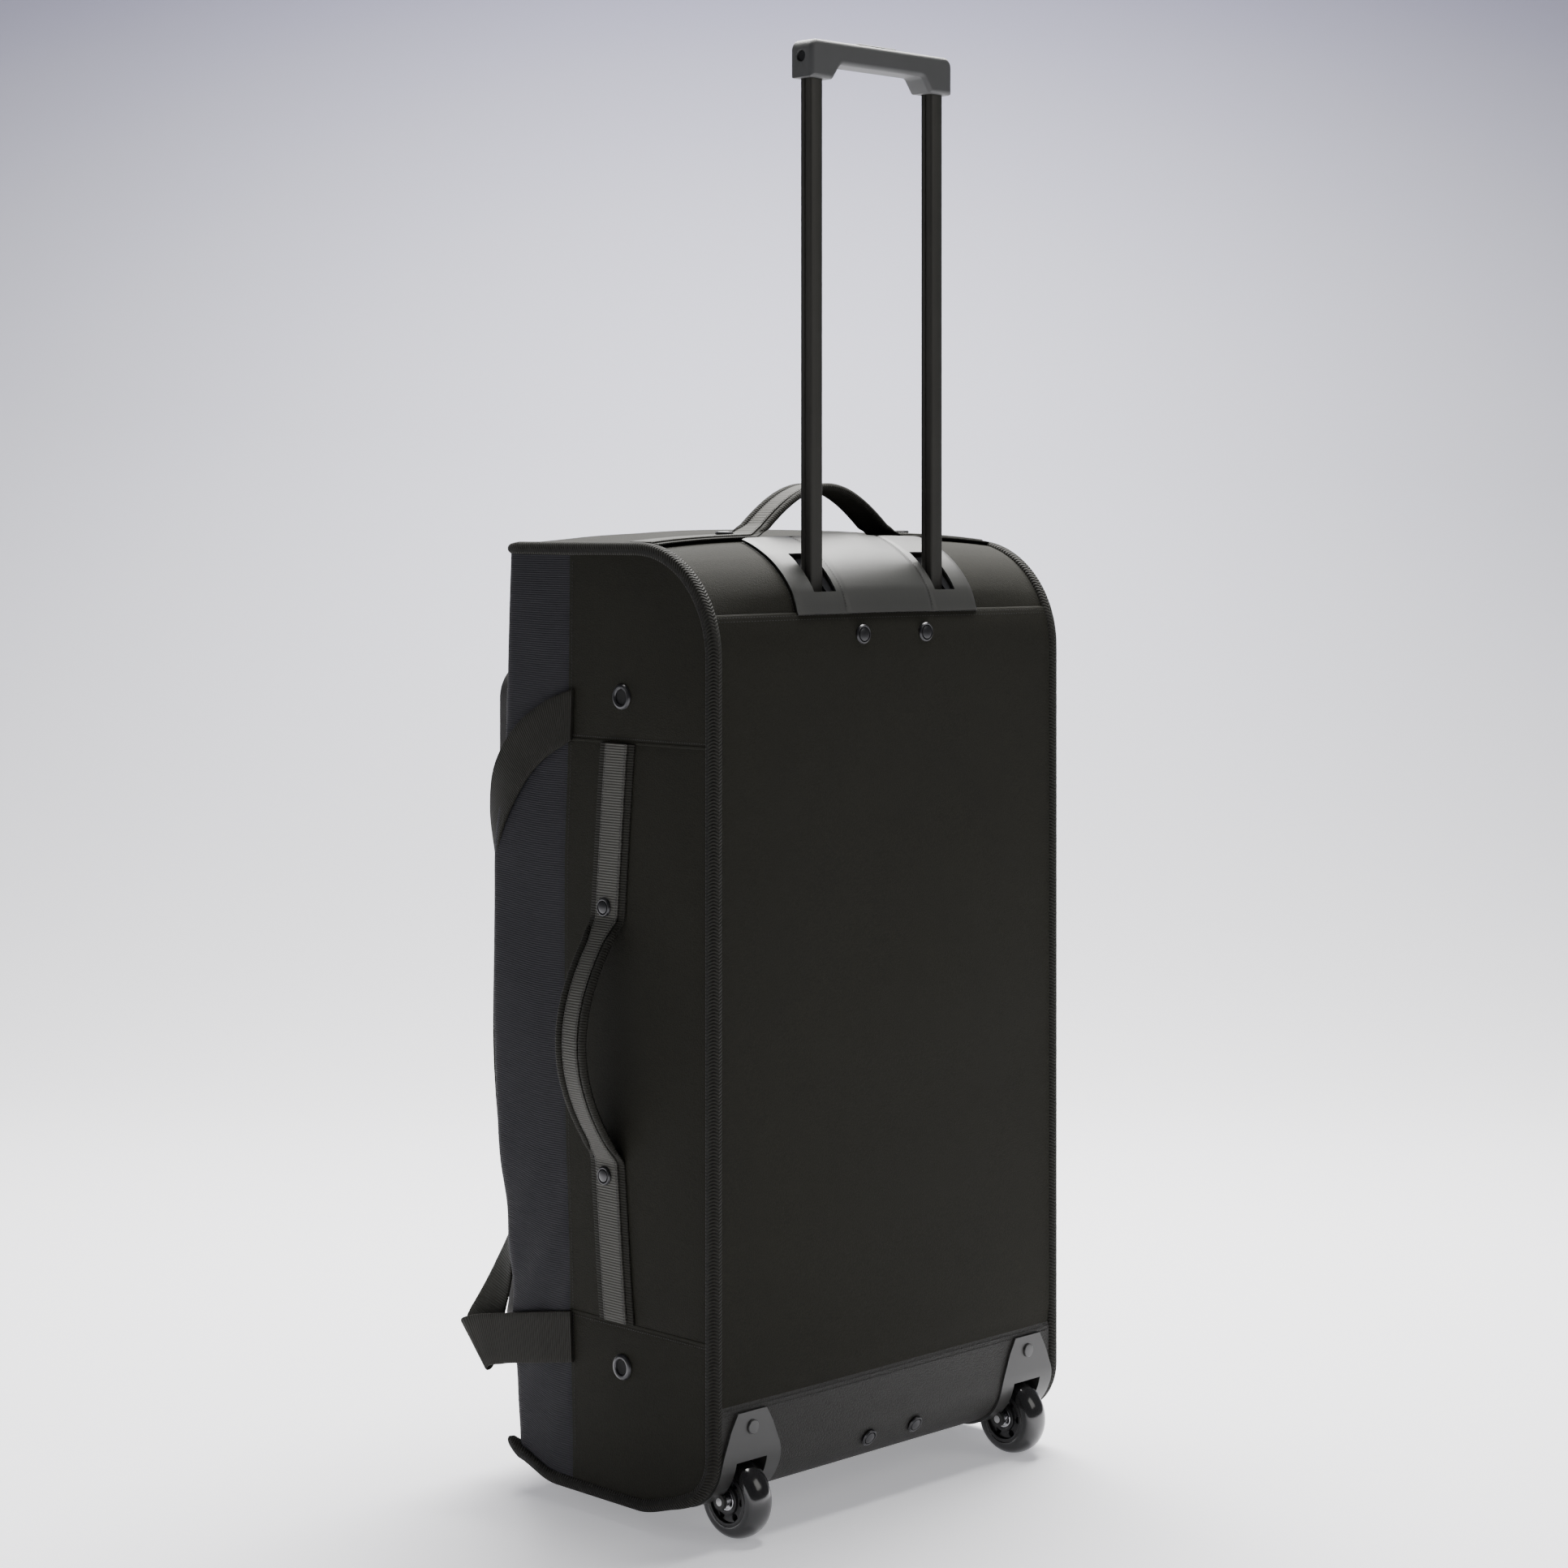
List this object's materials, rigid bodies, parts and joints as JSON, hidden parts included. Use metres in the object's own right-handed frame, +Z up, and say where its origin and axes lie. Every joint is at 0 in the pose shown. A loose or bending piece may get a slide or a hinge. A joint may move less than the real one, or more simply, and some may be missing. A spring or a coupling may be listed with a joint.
{
  "type": "hockey equipment bag",
  "caption": "Upright wheeled hockey equipment bag with a pull-out trolley handle, raised zip lid, side and top handles and two carry straps.",
  "frame": {"origin": "on the ground, in the middle of the whole object's box", "axes": "+Z up with the bag standing on its wheels and feet, +Y towards the trolley and wheels, -Y towards the lid, +X to the right of someone facing the lid"},
  "size_m": [0.484, 0.3162, 1.143],
  "materials": {
    "body_cloth": "matte black woven polyester",
    "gusset_cloth": "matte navy ribbed polyester",
    "guard_cloth": "grained coated fabric, satin",
    "patch_skin": "smooth coated fabric, satin",
    "stiff_board": "plain sheet",
    "lining": "plain woven lining",
    "binding_tape": "herringbone tape",
    "black_webbing": "flat woven webbing",
    "grey_webbing": "flat woven webbing",
    "zip_coil": "moulded coil on woven tape",
    "zip_metal": "black enamel",
    "guide_alloy": "mill finish",
    "dark_alloy": "dark brushed anodised",
    "grip_plastic": "fine matte texture",
    "button_plastic": "matte",
    "inner_plastic": "plain moulded",
    "seat_plastic": "glossy moulded",
    "steel": "plain steel",
    "housing_plastic": "satin moulded",
    "wheel_rubber": "glossy moulded polyurethane",
    "hub_plastic": "glossy moulded",
    "bearing_steel": "polished",
    "dark_nickel": "black nickel",
    "foot_rubber": "matte"
  },
  "bodies": {
    "root": {"top_panel": "body_cloth", "back_panel": "body_cloth", "lower_guard": "guard_cloth", "bottom_panel": "body_cloth", "back_board": "stiff_board", "side_panel_left": "body_cloth", "side_panel_right": "body_cloth", "side_ends_left": "body_cloth", "side_ends_right": "body_cloth", "front_gusset_left": "gusset_cloth", "front_gusset_right": "gusset_cloth", "binding_left": "binding_tape", "binding_right": "binding_tape", "front_border": "body_cloth", "opening_rim": "body_cloth", "zip_rim_half": "zip_coil", "guide_tubes": "guide_alloy", "trolley_seat": "seat_plastic", "lower_bridge": "inner_plastic", "trolley_lining": "lining", "top_patch": "patch_skin", "wheel_housing_left": "housing_plastic", "wheel_housing_right": "housing_plastic", "wheel_axles": "steel", "housing_rivets": "dark_nickel", "side_handle_left": "grey_webbing", "side_handle_right": "grey_webbing", "side_handle_bands": "black_webbing", "top_handle_bands": "black_webbing", "top_handle": "grey_webbing", "handle_studs": "dark_nickel", "stand_feet": "foot_rubber", "vent_eyelets": "dark_nickel", "seat_snaps": "dark_nickel", "bridge_rivets": "dark_nickel"},
    "trolley": {"sliding_tubes": "dark_alloy", "tube_plugs": "inner_plastic", "grip": "grip_plastic", "grip_screws": "dark_nickel"},
    "release": {"release_button": "button_plastic", "release_rods": "steel"},
    "pin_left": {"lock_pin_left": "steel"},
    "pin_right": {"lock_pin_right": "steel"},
    "wheel_left": {"tyre_left": "wheel_rubber", "wheel_hub_left": "hub_plastic", "wheel_bearings_left": "bearing_steel"},
    "wheel_right": {"tyre_right": "wheel_rubber", "wheel_hub_right": "hub_plastic", "wheel_bearings_right": "bearing_steel"},
    "lid": {"lid_panel": "body_cloth", "zip_lid_half": "zip_coil"},
    "slider_left": {"zip_slider_left": "zip_metal"},
    "slider_right": {"zip_slider_right": "zip_metal"},
    "pull_left": {"zip_pull_left": "zip_metal"},
    "pull_right": {"zip_pull_right": "zip_metal"},
    "strap_left": {"carry_strap_left": "black_webbing"},
    "strap_right": {"carry_strap_right": "black_webbing"}
  },
  "joints": [
    {"name": "trolley_slide", "type": "slide", "parent": "root", "child": "trolley", "axis": [0, 0, 1], "range_m": [-0.36, 0]},
    {"name": "release_press", "type": "slide", "parent": "trolley", "child": "release", "axis": [0, 0, -1], "range_m": [0, 0.005], "stiffness_N_per_m": 700, "springref_m": -0.004},
    {"name": "pin_left_draw", "type": "slide", "parent": "trolley", "child": "pin_left", "axis": [1, 0, 0], "range_m": [0, 0.002]},
    {"name": "pin_right_draw", "type": "slide", "parent": "trolley", "child": "pin_right", "axis": [-1, 0, 0], "range_m": [0, 0.002]},
    {"name": "wheel_left_spin", "type": "hinge", "parent": "root", "child": "wheel_left", "pos_m": [-0.158, 0.1276, 0.0305], "axis": [1, 0, 0], "continuous": true},
    {"name": "wheel_right_spin", "type": "hinge", "parent": "root", "child": "wheel_right", "pos_m": [0.158, 0.1276, 0.0305], "axis": [1, 0, 0], "continuous": true},
    {"name": "lid_fold", "type": "hinge", "parent": "root", "child": "lid", "pos_m": [0, -0.1413, 0.118], "axis": [1, 0, 0], "range_deg": [0, 105]},
    {"name": "slider_left_run", "type": "slide", "parent": "lid", "child": "slider_left", "axis": [-1, 0, 0], "range_m": [0, 0.105]},
    {"name": "slider_right_run", "type": "slide", "parent": "lid", "child": "slider_right", "axis": [1, 0, 0], "range_m": [0, 0.105]},
    {"name": "pull_left_swing", "type": "hinge", "parent": "slider_left", "child": "pull_left", "pos_m": [-0.014, -0.15685, 0.6563], "axis": [-1, 0, 0], "range_deg": [0, 110]},
    {"name": "pull_right_swing", "type": "hinge", "parent": "slider_right", "child": "pull_right", "pos_m": [0.014, -0.15685, 0.6563], "axis": [-1, 0, 0], "range_deg": [0, 110]},
    {"name": "strap_left_swing", "type": "hinge", "parent": "root", "child": "strap_left", "pos_m": [-0.1995, -0.0174, 0.375], "axis": [0, 0, -1], "range_deg": [0, 95]},
    {"name": "strap_right_swing", "type": "hinge", "parent": "root", "child": "strap_right", "pos_m": [0.1995, -0.0174, 0.375], "axis": [0, 0, 1], "range_deg": [0, 95]}
  ],
  "couplings": [
    {"joint": "pin_left_draw", "follows": "release_press", "ratio": 0.4},
    {"joint": "pin_right_draw", "follows": "release_press", "ratio": 0.4}
  ]
}
